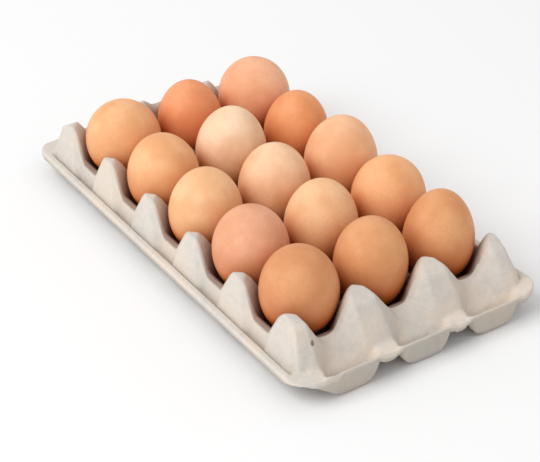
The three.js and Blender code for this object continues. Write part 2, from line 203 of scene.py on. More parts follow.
# Eggs by cell, with row a along -Y and column 1 at -X: half the width and half the height. A positive taper
# makes the top end blunter than the bottom end. The lean is in degrees, towards a compass angle from +X.
CELL_ROWS = "abc"
EGGS = (
    dict(cell="a1", half=23.4, tall=24.8, taper=0, lean=(4, 200), slot="shell_tan", tint="tan"),
    dict(cell="a2", half=21.9, tall=26.2, taper=-0.04, lean=(3, 240), slot="shell_tan", tint="tan"),
    dict(cell="a3", half=21.7, tall=26.6, taper=-0.05, lean=(2, 90), slot="shell_tan", tint="peach"),
    dict(cell="a4", half=22.1, tall=27, taper=0.03, lean=(3, 180), slot="shell_pink", tint="pink"),
    dict(cell="a5", half=22.2, tall=27.2, taper=-0.02, lean=(2, 270), slot="shell_golden", tint="amber"),
    dict(cell="b1", half=20.6, tall=27.2, taper=-0.05, lean=(5, 300), slot="shell_dark", tint="rust"),
    dict(cell="b2", half=21.8, tall=28.2, taper=-0.05, lean=(3, 30), slot="shell_pale", tint="cream"),
    dict(cell="b3", half=21.7, tall=27.2, taper=-0.04, lean=(2, 150), slot="shell_pale", tint="pale"),
    dict(cell="b4", half=21.5, tall=27.5, taper=-0.03, lean=(3, 60), slot="shell_tan", tint="peach"),
    dict(cell="b5", half=21, tall=28.8, taper=0.02, lean=(2, 120), slot="shell_golden", tint="golden"),
    dict(cell="c1", half=23, tall=26, taper=0.02, lean=(4, 330), slot="shell_pink", tint="rose"),
    dict(cell="c2", half=20.2, tall=27, taper=-0.04, lean=(4, 20), slot="shell_dark", tint="copper"),
    dict(cell="c3", half=22.4, tall=28.6, taper=-0.04, lean=(3, 80), slot="shell_golden", tint="blush"),
    dict(cell="c4", half=22.2, tall=27, taper=0.02, lean=(3, 10), slot="shell_golden", tint="orange"),
    dict(cell="c5", half=20.6, tall=28.6, taper=-0.08, lean=(3, 100), slot="shell_golden", tint="golden"),
)
EGG_SEGMENTS = 96
EGG_ROWS = 64
EGG_WAVES = ((26, 0.16), (11, 0.04))
EGG_PLAN_MARGIN = 1

SHELL_TINTS = {
    "tan": (0.9, 0.475, 0.232),
    "peach": (0.92, 0.54, 0.29),
    "pink": (0.84, 0.42, 0.25),
    "amber": (0.74, 0.335, 0.152),
    "orange": (0.91, 0.455, 0.215),
    "golden": (0.77, 0.36, 0.16),
    "pale": (0.95, 0.6, 0.365),
    "cream": (0.95, 0.67, 0.445),
    "blush": (0.94, 0.53, 0.3),
    "rose": (0.93, 0.48, 0.28),
    "rust": (0.89, 0.355, 0.165),
    "copper": (0.88, 0.37, 0.158),
}
SHADED_SHELL = (0.72, 0.38, 0.15)
PULP_COLOUR = (0.70, 0.635, 0.57)
# Painted shade: colour of the dark spot for the pit in the near corner post
PAINTED_PIT_SHADE = (0.24, 0.21, 0.17)
# Painted shade: dark red brown in the narrow spaces between the eggs and the cups
POCKET_SHADE_COLOUR = (0.15, 0.055, 0.03)
UNDER_SHADE = (0.77, 0.77, 0.76)

# Pattern of the pulp. Scales are counts in a metre, ranges are the noise values where a share starts and is
# full, and a relief is its depth in metres and its strength.
WARM_PULP = (1.05, 1.01, 0.96)
COOL_PULP = (0.93, 0.96, 0.98)
CLOUD_SCALE = 45
CLOUD_RANGE = (0.38, 0.62)
FINE_CLOUD_SCALE = 260
FINE_CLOUD_RANGE = (0.35, 0.65)
FINE_CLOUD_SHARE = 0.5
FINE_CLOUD_GLOW = 1.07
FIBRES_ALONG_X = (420, 1900, 1500)
FIBRES_ALONG_Y = (1800, 430, 1500)
FIBRE_RANGE = (0.66, 0.72)
PALE_FIBRE = 1.25
PALE_FIBRE_SHARE = 0.35
DARK_FIBRE = 0.72
DARK_FIBRE_SHARE = 0.3
SPECK = 0.4
SPECK_SHARE = 0.45
SPECK_SCALE = 330
SPECK_RADIUS = (0.05, 0.12)
SPECK_SPREAD_SCALE = 90
SPECK_SPREAD_RANGE = (0.56, 0.62)
LUMP_SCALE = 190
LUMP_RELIEF = (0.0013, 0.45)
FELT_SCALE = 800
FELT_RELIEF = (0.0005, 0.5)
FIBRE_RELIEF = (0.0001, 0.4)
PULP_ROUGHNESS = 0.95
PULP_SHEEN = 0.15

# Pattern of the shells, in the same kinds of values
SHELL_PATTERN_STEP = (0.37, 0.11, 0.23)
DEEP_SHELL = (0.93, 0.86, 0.80)
LIGHT_SHELL = (1.05, 1.08, 1.13)
MOTTLE_SCALE = 55
MOTTLE_RANGE = (0.34, 0.66)
GRAIN_SCALE = 700
GRAIN_RANGE = (0.42, 0.68)
GRAIN_SHARE = 0.35
DARK_DOT = 0.55
DOT_SCALE = 520
DOT_RADIUS = (0.08, 0.2)
DOT_SPREAD_SCALE = 130
DOT_SPREAD_RANGE = (0.5, 0.66)
DOT_SHARE = 0.45
PALE_DOT = (1.3, 1.3, 1.3)
PALE_DOT_SCALE = 900
PALE_DOT_RADIUS = (0.06, 0.16)
PALE_DOT_SHARE = 0.3
POLISH_SCALE = 240
POLISH_RANGE = (0.3, 0.7)
SHELL_ROUGHNESS = (0.48, 0.58)
SHELL_SHEEN = 0.28
SWELL_SCALE = 330
SWELL_RELIEF = (0.0002, 0.25)
PORE_SCALE = 1900
PORE_RELIEF = (0.00008, 0.35)

# Camera, light and floor

CAMERA_AZIMUTH = 56.46
CAMERA_ELEVATION = 33.83
CAMERA_TARGET = (29.6, -22.97, 28)
CAMERA_DISTANCE = 1029.4
SENSOR_WIDTH = 36
LENS = 118.75

KEY_AZIMUTH = -6
KEY_ELEVATION = 47
KEY_DISTANCE = 3
KEY_SIZE = 2.1
KEY_POWER = 50
WORLD_STRENGTH = 0.68
FLOOR_SIZE = 8
FLOOR_COLOUR = (0.95, 0.95, 0.95)


# Form of the tray


def ramp(start, end, value):
    return np.clip((value - start) / (end - start), 0, 1)


def rounded_distance(a, b, power):
    return (a**power + b**power) ** (1 / power)


def soft_maximum(first, second, width):
    return (first + second + np.hypot(first - second, width)) / 2


def post_profile(distance, top):
    """Height of a post at a distance from its middle: flat top, bevel, straight side, cup wall."""
    inner = top == INNER_POST_TOP
    shoulder_z = top - np.where(inner, INNER_BEVEL, OUTER_BEVEL)
    bevel = top - (top - shoulder_z) * ramp(POST_FLAT, SHOULDER, distance)
    side = shoulder_z - (shoulder_z - NOTCH_INNER) * ramp(SHOULDER, NOTCH_START, distance)
    below = np.where(inner, INNER_CUP_SLOPE, OUTER_CUP_SLOPE) * np.maximum(0, distance - NOTCH_START)
    return np.where(distance <= SHOULDER, bevel, side) - below


def post_top(x, y):
    """Top of the nearest post. The posts along the long sides and at the corners of +X are lower."""
    outermost_x = GRID_X - np.abs(x) < HALF_PITCH
    outermost_y = GRID_Y - np.abs(y) < HALF_PITCH
    corner = np.where(y > 0, WIDE_CORNER_POST_TOP, NEAR_CORNER_POST_TOP)
    short_side = np.where(outermost_y & (x > 0), corner, OUTER_POST_TOP)
    return np.where(outermost_x, short_side, np.where(outermost_y, LONG_SIDE_POST_TOP, INNER_POST_TOP))


def sloped_facet(out, top):
    """Height of a short side's post outwards: a facet that slopes from the top edge, then the steep face."""
    foot = top - FACET_FALL
    steep = (foot - SHELF_Z) / (SHORT_FACE_FOOT - FACET_REACH)
    return top - FACET_FALL * ramp(0, FACET_REACH, out) - steep * np.maximum(0, out - FACET_REACH)


def to_post_line(value, limit):
    """Distance to the nearest line of posts along one axis, counted only inside the outermost posts."""
    shifted = (limit - np.minimum(np.abs(value), limit)) % PITCH
    return np.minimum(shifted, PITCH - shifted)


def short_side_notch(x, y):
    """The middle notch of the far short side is almost closed by a web."""
    return np.where((x < 0) & (np.abs(y) < HALF_PITCH), NOTCH_FAR_MIDDLE, NOTCH_SHORT_SIDE)


def inner_height(x, y, a, b):
    outermost_x = GRID_X - np.abs(x) < HALF_PITCH
    outermost_y = GRID_Y - np.abs(y) < HALF_PITCH
    post = post_profile(rounded_distance(a, b, POST_ROUNDNESS), post_top(x, y))
    crest_a = NOTCH_FALL * np.maximum(0, a - NOTCH_CREST)
    crest_b = NOTCH_FALL * np.maximum(0, b - NOTCH_CREST)
    across_x = np.where(outermost_x, NOTCH_SHORT_SIDE, NOTCH_INNER) - crest_a
    across_y = np.where(outermost_y, NOTCH_LONG_SIDE, NOTCH_INNER) - crest_b
    web = np.where(outermost_x, short_side_notch(x, y) - WEB_FALL * a, 0)
    return np.maximum.reduce([np.full_like(x, FLOOR_TOP), post, across_x, across_y, web])


def short_side_height(x, y, out, b):
    """Sloping post faces, walls under the notches, then half cups between flat shelves."""
    top = post_top(x, y)
    aside = b + SHORT_FACE_SIDE_SHARE * np.maximum(0, out - SHORT_FACE_SIDE_START)
    face = np.minimum(post_profile(aside, top), sloped_facet(out, top))
    notch = short_side_notch(x, y)
    fall = SHORT_WALL_FALL + (notch - NOTCH_SHORT_SIDE) / SHORT_FACE_FOOT
    wall = notch - fall * out - SHORT_WALL_END_FALL * np.maximum(0, out - SHORT_FACE_FOOT)
    from_cup = (y + HALF_PITCH) % PITCH - HALF_PITCH
    shift = SHELF_SHIFT * (1 - ramp(HALF_CUP_MIDDLE, HALF_CUP_OUTER_END, out))
    across_cup = np.abs(from_cup - shift) / (HALF_CUP_REACH - shift)
    out_cup = np.maximum(0, out - HALF_CUP_MIDDLE) / (HALF_CUP_OUTER_END - HALF_CUP_MIDDLE)
    bowl = rounded_distance(across_cup, out_cup, HALF_CUP_ROUNDNESS) ** HALF_CUP_HOLLOW
    cup = HALF_CUP_FLOOR + (HALF_CUP_RIM_Z - HALF_CUP_FLOOR) * bowl
    shelf = SHELF_Z - SHORT_DROP_SLOPE * np.maximum(0, out - SHORT_DROP_START)
    rim = HALF_CUP_RIM_Z + (shelf - HALF_CUP_RIM_Z) * ramp(SHELF_START, SHELF_FULL, across_cup)
    return np.maximum(soft_maximum(face, wall, SHORT_VALLEY_SOFTNESS), np.minimum(rim, cup))


def long_lip(out):
    inner = GROOVE_AT_NOTCH + LIP_INNER_SLOPE * np.maximum(0, out - LIP_INNER_START)
    outer = SHELF_Z - LONG_DROP_SLOPE * np.maximum(0, out - LONG_DROP_START)
    return np.minimum(SHELF_Z, np.minimum(inner, outer))


def long_side_height(x, y, out, a):
    """Steep flat post faces, hollows under the notches, a groove and a raised lip."""
    across = np.maximum(out * LONG_FACE_SCALE, a + LONG_FACE_SIDE_SHARE * out)
    face = post_profile(across, post_top(x, y))
    wall = NOTCH_LONG_SIDE - LONG_WALL_FALL * out
    groove_share = ramp(GROOVE_POST_REACH, GROOVE_NOTCH_REACH, a)
    groove = GROOVE_AT_POST + (GROOVE_AT_NOTCH - GROOVE_AT_POST) * groove_share
    return np.maximum.reduce([face, wall, groove, long_lip(out)])


def corner_height(x, y, out_x, out_y):
    """Sharp-edged corner post that comes down to a flat shelf where the groove ends."""
    top = post_top(x, y)
    face = np.minimum(post_profile(out_y * LONG_FACE_SCALE, top), sloped_facet(out_x, top))
    groove = GROOVE_AT_POST + (SHELF_Z - GROOVE_AT_POST) * ramp(GROOVE_END_START, GROOVE_END, out_x)
    edge_x = SHORT_DROP_SLOPE * np.maximum(0, out_x - SHORT_DROP_START)
    edge_y = LONG_DROP_SLOPE * np.maximum(0, out_y - LONG_DROP_START)
    drop_x = edge_x * (1 - ramp(0, LONG_FACE_FOOT, out_y))
    drop_y = edge_y * (1 - ramp(SHORT_FACE_FOOT, SHORT_DROP_START, out_x))
    shelf = np.maximum(groove, long_lip(out_y) + edge_y)
    return np.maximum(face, shelf - np.maximum(drop_x, drop_y))


def tray_height(x, y):
    """Upper surface of the tray over points of the unrounded plan."""
    out_x = np.maximum(0, np.abs(x) - GRID_X)
    out_y = np.maximum(0, np.abs(y) - GRID_Y)
    a = to_post_line(x, GRID_X)
    b = to_post_line(y, GRID_Y)
    inside = inner_height(x, y, a, b)
    short_side = short_side_height(x, y, out_x, b)
    long_side = long_side_height(x, y, out_y, a)
    corner = corner_height(x, y, out_x, out_y)
    flange = np.where((out_x > 0) & (out_y > 0), corner, np.where(out_x > 0, short_side, long_side))
    return np.where((out_x > 0) | (out_y > 0), flange, inside)


def rounded_corner(x, y):
    """Moves points of the square corners inwards so that the rim turns on an arc."""
    out_x = np.maximum(0, np.abs(x) - GRID_X) / FLANGE_X
    out_y = np.maximum(0, np.abs(y) - GRID_Y) / FLANGE_Y
    level = np.maximum(out_x, out_y)
    radius = np.where((x > 0) & (y > 0), WIDE_CORNER_RADIUS, RIM_CORNER_RADIUS) * level
    centre_x = GRID_X + FLANGE_X * level - radius
    centre_y = GRID_Y + FLANGE_Y * level - radius
    away_x = np.abs(x) - centre_x
    away_y = np.abs(y) - centre_y
    turned = (away_x > 0) & (away_y > 0)
    pull = radius / np.where(turned, np.hypot(away_x, away_y), 1)
    new_x = np.where(turned, np.sign(x) * (centre_x + away_x * pull), x)
    new_y = np.where(turned, np.sign(y) * (centre_y + away_y * pull), y)
    return new_x, new_y


def leaned_post(x, y, z):
    """Moves points of the short side's posts by their lean and by what the corner post is drawn in."""
    short_side = x >= GRID_X - HALF_PITCH
    corner = short_side & (y <= -GRID_Y + HALF_PITCH)
    rise = ramp(NOTCH_SHORT_SIDE, OUTER_POST_TOP, z) * (short_side & ~corner)
    wide = y > GRID_Y - HALF_PITCH
    lean_x = np.where(wide, WIDE_CORNER_LEAN[0], SHORT_SIDE_LEAN[0])
    lean_y = np.where(wide, WIDE_CORNER_LEAN[1], SHORT_SIDE_LEAN[1])
    high = ramp(SHELF_Z, OUTER_POST_TOP, z)
    near = ramp(GRID_X - CORNER_DRAW_REACH, GRID_X, x) * ramp(-GRID_Y + CORNER_DRAW_REACH, -GRID_Y, y)
    inside_x = 1 - ramp(SHORT_FACE_FOOT, HALF_CUP_OUTER_START, x - GRID_X)
    inside_y = 1 - ramp(LONG_FACE_FOOT, LIP_INNER_START, -GRID_Y - y)
    share = near * inside_x * inside_y * corner
    face_draw = CORNER_FACE_DRAW_FOOT + (CORNER_FACE_DRAW_TOP - CORNER_FACE_DRAW_FOOT) * high
    new_x = x + lean_x * rise - CORNER_FOOT_DRAW * (1 - high) * share
    new_y = y + lean_y * rise + face_draw * share
    return new_x, new_y


# Mesh tools


def even_steps(start, end, step):
    return np.linspace(start, end, 1 + max(1, round(abs(end - start) / step)))


def mirrored_lines(inner_end, outer_end, inner_step, outer_step):
    """Sorted lines from one rim to the other, with a finer step over the flange."""
    inner = even_steps(0, inner_end, inner_step)
    flange = even_steps(inner_end, outer_end, outer_step)[1:]
    half = np.concatenate([inner, flange])
    return np.concatenate([-half[:0:-1], half])


def waves(points, sizes, seed):
    """Smooth unevenness at points in millimetres, as the sum of noises of given wavelengths and heights."""
    total = np.zeros(len(points))
    shift_x, shift_y, shift_z = WAVE_SHIFT
    for octave, (wavelength, height) in enumerate(sizes):
        shift = Vector((seed + shift_x * octave, shift_y * seed, shift_z * octave))
        values = [noise.noise(Vector(point) / wavelength + shift) for point in points]
        total += height * np.array(values)
    return total


def grid_normals(points):
    """Unit normals of a grid of points, which face up."""
    along_x = np.gradient(points, axis=0)
    along_y = np.gradient(points, axis=1)
    normals = np.cross(along_x, along_y)
    return normals / np.linalg.norm(normals, axis=2, keepdims=True)


def smoothed(points, share):
    """The grid with its edges rounded by a share for each point. The border keeps its place in plan."""
    for _ in range(SMOOTHING_ROUNDS):
        neighbours = points[:-2, 1:-1] + points[2:, 1:-1] + points[1:-1, :-2] + points[1:-1, 2:]
        moved = points.copy()
        moved[1:-1, 1:-1] += share[1:-1, 1:-1, None] * (neighbours / 4 - points[1:-1, 1:-1])
        for side in (moved[0], moved[-1], moved[:, 0], moved[:, -1]):
            side[1:-1, 2] += SOFT_SHARE * ((side[:-2, 2] + side[2:, 2]) / 2 - side[1:-1, 2])
        points = moved
    return points


def evened(heights):
    """Heights of a grid with their small jumps levelled out. The border is kept."""
    for _ in range(UNDER_ROUNDS):
        neighbours = heights[:-2, 1:-1] + heights[2:, 1:-1] + heights[1:-1, :-2] + heights[1:-1, 2:]
        heights = heights.copy()
        heights[1:-1, 1:-1] += UNDER_SHARE * (neighbours / 4 - heights[1:-1, 1:-1])
    return heights


def new_piece(name, vertices, faces, material):
    """A smooth-shaded mesh object from vertices in millimetres."""
    mesh = bpy.data.meshes.new(name)
    mesh.from_pydata((np.asarray(vertices) * MM).tolist(), [], faces)
    mesh.validate()
    mesh.polygons.foreach_set("use_smooth", [True] * len(mesh.polygons))
    mesh.materials.append(material)
    mesh.update()
    piece = bpy.data.objects.new(name, mesh)
    bpy.context.scene.collection.objects.link(piece)
    return piece


def add_shade(piece, name, values):
    """Stores a value for each vertex, for use by the piece's material."""
    layer = piece.data.attributes.new(name, "FLOAT", "POINT")
    layer.data.foreach_set("value", np.asarray(values, dtype=np.float32))


# Materials


class Nodes:
    """Short calls for building a node material."""

    def __init__(self, name):
        self.material = bpy.data.materials.new(name)
        self.material.use_nodes = True
        self.tree = self.material.node_tree
        self.shader = self.tree.nodes["Principled BSDF"]
        self.place = self.tree.nodes.new("ShaderNodeTexCoord").outputs["Object"]

    def add(self, kind, **settings):
        node = self.tree.nodes.new(kind)
        for name, value in settings.items():
            setattr(node, name, value)
        return node

    def link(self, source, target):
        self.tree.links.new(source, target)

    def move_pattern(self, move):
        """Moves the pattern that the later calls make, in metres."""
        mapping = self.add("ShaderNodeMapping")
        mapping.inputs["Location"].default_value = move
        self.link(self.place, mapping.inputs["Vector"])
        self.place = mapping.outputs["Vector"]

    def stretched(self, scale):
        mapping = self.add("ShaderNodeMapping")
        mapping.inputs["Scale"].default_value = scale
        self.link(self.place, mapping.inputs["Vector"])
        return mapping.outputs["Vector"]

    def noise(self, scale, detail=3, roughness=0.55, distortion=0, place=None):
        node = self.add("ShaderNodeTexNoise")
        node.inputs["Scale"].default_value = scale
        node.inputs["Detail"].default_value = detail
        node.inputs["Roughness"].default_value = roughness
        node.inputs["Distortion"].default_value = distortion
        self.link(place or self.place, node.inputs["Vector"])
        return node.outputs["Fac"]

    def fibres(self, scale):
        """Thin streaks, from a noise that is stretched by a scale for each axis."""
        streaks = self.noise(1, detail=2, roughness=0.6, distortion=1.2, place=self.stretched(scale))
        return self.span(streaks, *FIBRE_RANGE)

    def spots(self, scale):
        node = self.add("ShaderNodeTexVoronoi")
        node.inputs["Scale"].default_value = scale
        self.link(self.place, node.inputs["Vector"])
        return node.outputs["Distance"]

    def stored(self, name):
        return self.add("ShaderNodeAttribute", attribute_name=name).outputs["Fac"]

    def span(self, value, low, high, from_value=0.0, to_value=1.0):
        """The value stretched so that low gives from_value and high gives to_value."""
        node = self.add("ShaderNodeMapRange", interpolation_type="SMOOTHSTEP")
        node.inputs["From Min"].default_value = low
        node.inputs["From Max"].default_value = high
        node.inputs["To Min"].default_value = from_value
        node.inputs["To Max"].default_value = to_value
        self.link(value, node.inputs["Value"])
        return node.outputs["Result"]

    def times(self, first, second):
        node = self.add("ShaderNodeMath", operation="MULTIPLY")
        self.link(first, node.inputs[0])
        if isinstance(second, (int, float)):
            node.inputs[1].default_value = second
        else:
            self.link(second, node.inputs[1])
        return node.outputs["Value"]

    def plus(self, first, second):
        node = self.add("ShaderNodeMath", operation="ADD")
        self.link(first, node.inputs[0])
        self.link(second, node.inputs[1])
        return node.outputs["Value"]

    def mixed(self, share, first, second):
        """Colour between first and second. Each is a colour or an output."""
        node = self.add("ShaderNodeMix", data_type="RGBA")
        self.link(share, node.inputs["Factor"])
        for value, socket in ((first, node.inputs[6]), (second, node.inputs[7])):
            if isinstance(value, tuple):
                socket.default_value = (*value, 1)
            else:
                self.link(value, socket)
        return node.outputs[2]

    def multiplied(self, share, colour, factor):
        """The colour, multiplied by a colour where the share is full."""
        node = self.add("ShaderNodeMix", data_type="RGBA", blend_type="MULTIPLY")
        node.inputs[7].default_value = (*factor, 1)
        self.link(share, node.inputs["Factor"])
        self.link(colour, node.inputs[6])
        return node.outputs[2]

    def bump(self, heights):
        """Chains bumps of (height output, distance in metres, strength)."""
        last = None
        for height, distance, strength in heights:
            node = self.add("ShaderNodeBump")
            node.inputs["Distance"].default_value = distance
            node.inputs["Strength"].default_value = strength
            self.link(height, node.inputs["Height"])
            if last:
                self.link(last, node.inputs["Normal"])
            last = node.outputs["Normal"]
        self.link(last, self.shader.inputs["Normal"])


def scaled(colour, factor):
    return tuple(channel * factor for channel in colour)


def tinted(colour, factors):
    """The colour with each channel multiplied by its own factor."""
    return tuple(min(1, channel * factor) for channel, factor in zip(colour, factors))


def pulp_material():
    """Rough pressed paper pulp with cloudy tone, pale and dark fibres, a few specks and painted shade."""
    nodes = Nodes("pulp")
    cloud = nodes.span(nodes.noise(CLOUD_SCALE, detail=5, roughness=0.6), *CLOUD_RANGE)
    colour = nodes.mixed(cloud, tinted(PULP_COLOUR, COOL_PULP), tinted(PULP_COLOUR, WARM_PULP))
    fine_cloud = nodes.span(nodes.noise(FINE_CLOUD_SCALE), *FINE_CLOUD_RANGE, to_value=FINE_CLOUD_SHARE)
    colour = nodes.mixed(fine_cloud, colour, scaled(PULP_COLOUR, FINE_CLOUD_GLOW))
    fibres_x = nodes.fibres(FIBRES_ALONG_X)
    fibres_y = nodes.fibres(FIBRES_ALONG_Y)
    pale_share = nodes.times(fibres_x, PALE_FIBRE_SHARE)
    colour = nodes.mixed(pale_share, colour, scaled(PULP_COLOUR, PALE_FIBRE))
    dark_share = nodes.times(fibres_y, DARK_FIBRE_SHARE)
    colour = nodes.mixed(dark_share, colour, scaled(PULP_COLOUR, DARK_FIBRE))
    specks = nodes.span(nodes.spots(SPECK_SCALE), *SPECK_RADIUS, 1, 0)
    sparse = nodes.span(nodes.noise(SPECK_SPREAD_SCALE, detail=2), *SPECK_SPREAD_RANGE)
    speck_share = nodes.times(nodes.times(specks, sparse), SPECK_SHARE)
    colour = nodes.mixed(speck_share, colour, scaled(PULP_COLOUR, SPECK))
    # Painted shade of the pit in the near corner post: a dark spot around its place
    from_pit = nodes.add("ShaderNodeVectorMath", operation="DISTANCE")
    from_pit.inputs[1].default_value = [value * MM for value in PAINTED_PIT_PLACE]
    nodes.link(nodes.place, from_pit.inputs[0])
    radius = PAINTED_PIT_RADIUS * MM
    painted_pit_shade = nodes.span(from_pit.outputs["Value"], PAINTED_PIT_CORE * radius, PAINTED_PIT_EDGE * radius, 1, 0)
    colour = nodes.mixed(painted_pit_shade, colour, PAINTED_PIT_SHADE)
    # Painted shade in the pockets between the eggs and the cups, warm near the eggs
    colour = nodes.mixed(nodes.stored("pocket"), colour, POCKET_SHADE_COLOUR)
    # Painted shade on the underside, down the rim's wall and in the grooves of the long sides
    shaded = nodes.multiplied(nodes.stored("under"), colour, UNDER_SHADE)
    nodes.link(shaded, nodes.shader.inputs["Base Color"])
    nodes.shader.inputs["Roughness"].default_value = PULP_ROUGHNESS
    nodes.shader.inputs["Specular IOR Level"].default_value = PULP_SHEEN
    lumps = nodes.noise(LUMP_SCALE, roughness=0.5)
    felt = nodes.noise(FELT_SCALE, detail=4, roughness=0.65)
    fibre_relief = nodes.plus(fibres_x, fibres_y)
    nodes.bump(((lumps, *LUMP_RELIEF), (felt, *FELT_RELIEF), (fibre_relief, *FIBRE_RELIEF)))
    return nodes.material


def shell_material(name, tint, seed):
    """Eggshell: softly mottled, with fine speckles and pores under a dull sheen."""
    nodes = Nodes(name)
    nodes.move_pattern([seed * step for step in SHELL_PATTERN_STEP])
    deep = tinted(tint, DEEP_SHELL)
    cloud = nodes.span(nodes.noise(MOTTLE_SCALE, roughness=0.5), *MOTTLE_RANGE)
    colour = nodes.mixed(cloud, deep, tinted(tint, LIGHT_SHELL))
    grain = nodes.span(nodes.noise(GRAIN_SCALE, roughness=0.6), *GRAIN_RANGE, to_value=GRAIN_SHARE)
    colour = nodes.mixed(grain, colour, deep)
    dots = nodes.span(nodes.spots(DOT_SCALE), *DOT_RADIUS, 1, 0)
    dot_spread = nodes.noise(DOT_SPREAD_SCALE, detail=2, roughness=0.5)
    dot_share = nodes.span(dot_spread, *DOT_SPREAD_RANGE, to_value=DOT_SHARE)
    colour = nodes.mixed(nodes.times(dots, dot_share), colour, scaled(tint, DARK_DOT))
    pale_dots = nodes.span(nodes.spots(PALE_DOT_SCALE), *PALE_DOT_RADIUS, PALE_DOT_SHARE, 0)
    colour = nodes.mixed(pale_dots, colour, tinted(tint, PALE_DOT))
    shaded = nodes.multiplied(nodes.stored("shade"), colour, SHADED_SHELL)
    nodes.link(shaded, nodes.shader.inputs["Base Color"])
    polish = nodes.noise(POLISH_SCALE, detail=2, roughness=0.5)
    nodes.link(nodes.span(polish, *POLISH_RANGE, *SHELL_ROUGHNESS), nodes.shader.inputs["Roughness"])
    nodes.shader.inputs["Specular IOR Level"].default_value = SHELL_SHEEN
    pores = nodes.noise(PORE_SCALE, detail=2, roughness=0.5)
    swell = nodes.noise(SWELL_SCALE, detail=2, roughness=0.5)
    nodes.bump(((swell, *SWELL_RELIEF), (pores, *PORE_RELIEF)))
    return nodes.material


def plain_material(name, colour):
    nodes = Nodes(name)
    nodes.shader.inputs["Base Color"].default_value = (*colour, 1)
    nodes.shader.inputs["Roughness"].default_value = 1
    nodes.shader.inputs["Specular IOR Level"].default_value = 0
    return nodes.material


# Eggs


def egg_points(egg, centre, seed):
    """Vertices of a turned ovoid with a pole at each end, slightly uneven and leaned."""
    down = np.linspace(0, math.pi, EGG_ROWS + 1)[1:-1]
    around = np.linspace(0, 2 * math.pi, EGG_SEGMENTS, endpoint=False)
    radius = egg["half"] * np.sin(down) * (1 + egg["taper"] * np.cos(down))
    height = egg["tall"] * np.cos(down)
    x = np.outer(radius, np.cos(around))
    y = np.outer(radius, np.sin(around))
    z = np.outer(height, np.ones_like(around))
    rings = np.stack([x, y, z], axis=2).reshape(-1, 3)
    points = np.vstack([[0, 0, egg["tall"]], rings, [0, 0, -egg["tall"]]])
    points *= 1 + (waves(points, EGG_WAVES, seed) / egg["half"])[:, None]
    lean, compass = (math.radians(angle) for angle in egg["lean"])
    turn = Matrix.Rotation(lean, 3, Vector((-math.sin(compass), math.cos(compass), 0)))
    return points @ np.array(turn).T + centre


def egg_faces():
    last = 1 + (EGG_ROWS - 1) * EGG_SEGMENTS
    faces = []
    for segment in range(EGG_SEGMENTS):
        beside = (segment + 1) % EGG_SEGMENTS
        faces.append((0, 1 + segment, 1 + beside))
        for row in range(EGG_ROWS - 2):
            start = 1 + row * EGG_SEGMENTS
            below = start + EGG_SEGMENTS
            faces.append((start + segment, below + segment, below + beside, start + beside))
        start = last - EGG_SEGMENTS
        faces.append((start + segment, last, start + beside))
    return faces


def shell_shade(points, trees, number):
    """How far each point of an egg lies low down or in the gap beside a neighbour."""
    own_centre = trees[number][0]
    gaps = np.full(len(points), GAP_FAR, dtype=float)
    for other, (centre, _, tree) in enumerate(trees):
        beside = np.hypot(*(centre - own_centre)[:2])
        if other == number or beside > NEIGHBOUR_REACH:
            continue
        towards = ((points - own_centre) @ (centre - own_centre)) / beside
        for index in np.flatnonzero(towards > 0):
            gaps[index] = min(gaps[index], tree.find_nearest(Vector(points[index]))[3])
    near = GAP_SHARE * (1 - ramp(GAP_NEAR, GAP_FAR, gaps))
    low = (1 - ramp(EGG_SHADE_LOW, EGG_SHADE_HIGH, points[:, 2])) ** EGG_SHADE_POWER
    return 1 - (1 - near) * (1 - low)


def make_eggs():
    """Makes the eggs and returns each one's middle, reach in plan and search tree, in millimetres."""
    faces = egg_faces()
    trees = []
    shells = []
    for number, egg in enumerate(EGGS):
        cell = egg["cell"]
        name = f"egg_{cell}"
        low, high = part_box(name)
        x = (int(cell[1]) - 0.5) * PITCH - GRID_X
        y = (CELL_ROWS.index(cell[0]) + 0.5) * PITCH - GRID_Y
        centre = np.array([x, y, (low[2] + high[2]) / 2 / MM])
        points = egg_points(egg, centre, number + 1)
        material = shell_material(f"shell_{cell}", SHELL_TINTS[egg["tint"]], number + 1)
        piece = new_piece(f"shell_of_{name}", points, faces, material)
        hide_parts(name)
        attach(piece, "root")
        tree = BVHTree.FromPolygons(points.tolist(), faces)
        trees.append((centre, egg["half"] + EGG_PLAN_MARGIN, tree))
        shells.append((piece, points))
    for number, (piece, points) in enumerate(shells):
        add_shade(piece, "shade", shell_shade(points, trees, number))
    return trees


# Tray


def pressed_under_eggs(points, trees):
    """Keeps the sheet a little below each egg."""
    for centre, reach, tree in trees:
        near = np.argwhere(np.hypot(points[..., 0] - centre[0], points[..., 1] - centre[1]) < reach)
        for i, j in near:
            x, y, z = points[i, j]
            hit = tree.ray_cast(Vector((x, y, -1)), Vector((0, 0, 1)))[0]
            if hit is not None:
                points[i, j, 2] = min(z, hit.z - EGG_CLEARANCE)
    return points


def smoothing_share(x, y, z):
    """How much edges are rounded: most in the valleys of the short sides, and not at all on the caps."""
    out = np.abs(x) - GRID_X
    from_grid = ramp(0, SOFT_OUT_FULL, out)
    from_rim = 1 - ramp(SOFT_OUT_START, SOFT_OUT_END, out)
    on_short_side = from_grid * from_rim * (np.abs(y) < GRID_Y)
    softness = on_short_side * (1 - ramp(SOFT_LOW, SOFT_HIGH, z))
    below_caps = 1 - ramp(CRISP_LOW, CRISP_HIGH, z)
    return (EDGE_SHARE + (SOFT_SHARE - EDGE_SHARE) * softness) * below_caps


def unevenness(points):
    """Moves of the points along their normals, most of all up and down. The border has none."""
    rows, columns, _ = points.shape
    uneven = waves(points.reshape(-1, 3), PULP_WAVES, PULP_SEED).reshape(rows, columns, 1)
    uneven[[0, -1], :] = 0
    uneven[:, [0, -1]] = 0
    return grid_normals(points) * uneven * (SIDEWAYS_SHARE, SIDEWAYS_SHARE, 1)


